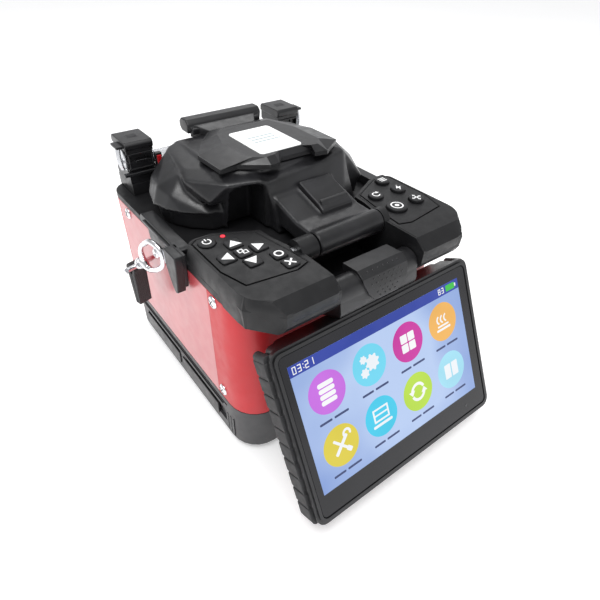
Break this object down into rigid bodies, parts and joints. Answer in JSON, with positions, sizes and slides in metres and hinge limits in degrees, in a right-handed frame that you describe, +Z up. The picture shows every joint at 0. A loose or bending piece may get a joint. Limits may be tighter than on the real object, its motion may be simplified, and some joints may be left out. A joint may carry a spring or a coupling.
{
  "type": "fiber fusion splicer",
  "caption": "Portable fibre fusion splicer: red sheet-metal housing on a black tray, keypads, hinged lid over the splicing well, sleeve heater, tilting colour monitor and strap hooks.",
  "frame": {"origin": "on the floor plane, at the middle of the object's width and depth", "axes": "+X to the operator's right, +Y from the monitor towards the heater at the rear, +Z up"},
  "size_m": [0.1688, 0.202, 0.141],
  "materials": {
    "black_plastic": "fine moulded texture, satin",
    "red_paint": "satin powder coat",
    "rubber": "matte",
    "key_rubber": "matte, with printed pale legends",
    "chrome": "polished",
    "steel": "turned",
    "aluminium": "fine bead blast",
    "ceramic": "ground ceramic",
    "glass": "clear hard coat over the display",
    "display": "lit colour display with round icons",
    "clear_plastic": "frosted clear",
    "red_lens": "translucent lens",
    "board": "solder mask",
    "webbing": "woven nylon"
  },
  "bodies": {
    "chassis": {"base_tray": "black_plastic", "rubber_foot_1": "rubber", "rubber_foot_2": "rubber", "rubber_foot_3": "rubber", "rubber_foot_4": "rubber", "front_panel": "red_paint", "side_panel_left": "red_paint", "side_panel_right": "red_paint", "rear_panel": "red_paint", "connector_plate": "black_plastic", "top_deck": "black_plastic", "keypad_plate_left": "key_rubber", "keypad_plate_right": "key_rubber", "status_lamp": "red_lens", "lid_hinge_pin": "steel", "splice_base": "aluminium", "vgroove_block": "ceramic", "electrode_front": "steel", "electrode_rear": "steel", "fibre_stage_left": "aluminium", "fibre_stage_right": "aluminium", "heater_base": "black_plastic", "heater_channel": "aluminium", "monitor_hinge_pin": "steel", "main_board": "board", "strap_bracket_left": "black_plastic", "strap_bracket_right": "black_plastic"},
    "lid": {"lid_shell": "black_plastic", "lid_top_plate": "black_plastic", "lid_handle": "black_plastic"},
    "monitor": {"monitor_back": "black_plastic", "monitor_bezel": "black_plastic", "monitor_glass": "glass", "lcd_panel": "display", "monitor_grip_left": "rubber", "monitor_grip_right": "rubber", "monitor_bracket": "black_plastic"},
    "key_power": {"key_power": "key_rubber"},
    "key_up": {"key_up": "key_rubber"},
    "key_right": {"key_right": "key_rubber"},
    "key_left": {"key_left": "key_rubber"},
    "key_down": {"key_down": "key_rubber"},
    "key_centre": {"key_centre": "key_rubber"},
    "key_heat": {"key_heat": "key_rubber"},
    "key_cancel": {"key_cancel": "key_rubber"},
    "key_menu": {"key_menu": "key_rubber"},
    "key_arc": {"key_arc": "key_rubber"},
    "key_reset": {"key_reset": "key_rubber"},
    "key_set": {"key_set": "key_rubber"},
    "key_xy": {"key_xy": "key_rubber"},
    "fibre_clamp_left": {"fibre_clamp_left": "black_plastic"},
    "fibre_clamp_right": {"fibre_clamp_right": "black_plastic"},
    "heater_cover": {"heater_cover": "clear_plastic"},
    "heater_clamp_left": {"heater_clamp_left": "black_plastic"},
    "heater_clamp_right": {"heater_clamp_right": "black_plastic"},
    "battery_pack": {"battery_pack": "black_plastic"},
    "snap_hook_left": {"snap_hook_left": "chrome"},
    "snap_hook_right": {"snap_hook_right": "chrome"},
    "strap_end_left": {"strap_end_left": "webbing"},
    "strap_end_right": {"strap_end_right": "webbing"}
  },
  "joints": [
    {"name": "lid_hinge", "type": "hinge", "parent": "chassis", "child": "lid", "pos_m": [0, -0.031, 0.112], "axis": [1, 0, 0], "range_deg": [0, 95]},
    {"name": "monitor_hinge", "type": "hinge", "parent": "chassis", "child": "monitor", "pos_m": [0, -0.054, 0.101], "axis": [-1, 0, 0], "range_deg": [-20, 78]},
    {"name": "key_power_press", "type": "slide", "parent": "chassis", "child": "key_power", "axis": [0, 0, -1], "range_m": [0, 0.0008], "stiffness_N_per_m": 300},
    {"name": "key_up_press", "type": "slide", "parent": "chassis", "child": "key_up", "axis": [0, 0, -1], "range_m": [0, 0.0008], "stiffness_N_per_m": 300},
    {"name": "key_right_press", "type": "slide", "parent": "chassis", "child": "key_right", "axis": [0, 0, -1], "range_m": [0, 0.0008], "stiffness_N_per_m": 300},
    {"name": "key_left_press", "type": "slide", "parent": "chassis", "child": "key_left", "axis": [0, 0, -1], "range_m": [0, 0.0008], "stiffness_N_per_m": 300},
    {"name": "key_down_press", "type": "slide", "parent": "chassis", "child": "key_down", "axis": [0, 0, -1], "range_m": [0, 0.0008], "stiffness_N_per_m": 300},
    {"name": "key_centre_press", "type": "slide", "parent": "chassis", "child": "key_centre", "axis": [0, 0, -1], "range_m": [0, 0.0008], "stiffness_N_per_m": 300},
    {"name": "key_heat_press", "type": "slide", "parent": "chassis", "child": "key_heat", "axis": [0, 0, -1], "range_m": [0, 0.0008], "stiffness_N_per_m": 300},
    {"name": "key_cancel_press", "type": "slide", "parent": "chassis", "child": "key_cancel", "axis": [0, 0, -1], "range_m": [0, 0.0008], "stiffness_N_per_m": 300},
    {"name": "key_menu_press", "type": "slide", "parent": "chassis", "child": "key_menu", "axis": [0, 0, -1], "range_m": [0, 0.0008], "stiffness_N_per_m": 300},
    {"name": "key_arc_press", "type": "slide", "parent": "chassis", "child": "key_arc", "axis": [0, 0, -1], "range_m": [0, 0.0008], "stiffness_N_per_m": 300},
    {"name": "key_reset_press", "type": "slide", "parent": "chassis", "child": "key_reset", "axis": [0, 0, -1], "range_m": [0, 0.0008], "stiffness_N_per_m": 300},
    {"name": "key_set_press", "type": "slide", "parent": "chassis", "child": "key_set", "axis": [0, 0, -1], "range_m": [0, 0.0008], "stiffness_N_per_m": 300},
    {"name": "key_xy_press", "type": "slide", "parent": "chassis", "child": "key_xy", "axis": [0, 0, -1], "range_m": [0, 0.0008], "stiffness_N_per_m": 300},
    {"name": "fibre_clamp_left_hinge", "type": "hinge", "parent": "chassis", "child": "fibre_clamp_left", "pos_m": [-0.027, 0.056, 0.1072], "axis": [-1, 0, 0], "range_deg": [0, 60]},
    {"name": "fibre_clamp_right_hinge", "type": "hinge", "parent": "chassis", "child": "fibre_clamp_right", "pos_m": [0.027, 0.056, 0.1072], "axis": [-1, 0, 0], "range_deg": [0, 60]},
    {"name": "heater_cover_hinge", "type": "hinge", "parent": "chassis", "child": "heater_cover", "pos_m": [0, 0.098, 0.1155], "axis": [-1, 0, 0], "range_deg": [0, 100]},
    {"name": "heater_clamp_left_hinge", "type": "hinge", "parent": "chassis", "child": "heater_clamp_left", "pos_m": [-0.05, 0.097, 0.12], "axis": [-1, 0, 0], "range_deg": [0, 85]},
    {"name": "heater_clamp_right_hinge", "type": "hinge", "parent": "chassis", "child": "heater_clamp_right", "pos_m": [0.05, 0.097, 0.12], "axis": [-1, 0, 0], "range_deg": [0, 85]},
    {"name": "battery_slide", "type": "slide", "parent": "chassis", "child": "battery_pack", "axis": [0, 1, 0], "range_m": [0, 0.1]},
    {"name": "snap_hook_left_swing", "type": "hinge", "parent": "chassis", "child": "snap_hook_left", "pos_m": [-0.0696, 0.024, 0.099], "axis": [1, 0, 0], "range_deg": [-60, 35]},
    {"name": "strap_end_left_swing", "type": "hinge", "parent": "snap_hook_left", "child": "strap_end_left", "pos_m": [-0.07523, 0.04658, 0.08015], "axis": [0.9703, 0.2419, 0], "range_deg": [-50, 35]},
    {"name": "snap_hook_right_swing", "type": "hinge", "parent": "chassis", "child": "snap_hook_right", "pos_m": [0.0696, 0.024, 0.099], "axis": [1, 0, 0], "range_deg": [-60, 35]},
    {"name": "strap_end_right_swing", "type": "hinge", "parent": "snap_hook_right", "child": "strap_end_right", "pos_m": [0.07523, 0.04658, 0.08015], "axis": [0.9703, -0.2419, 0], "range_deg": [-50, 35]}
  ]
}
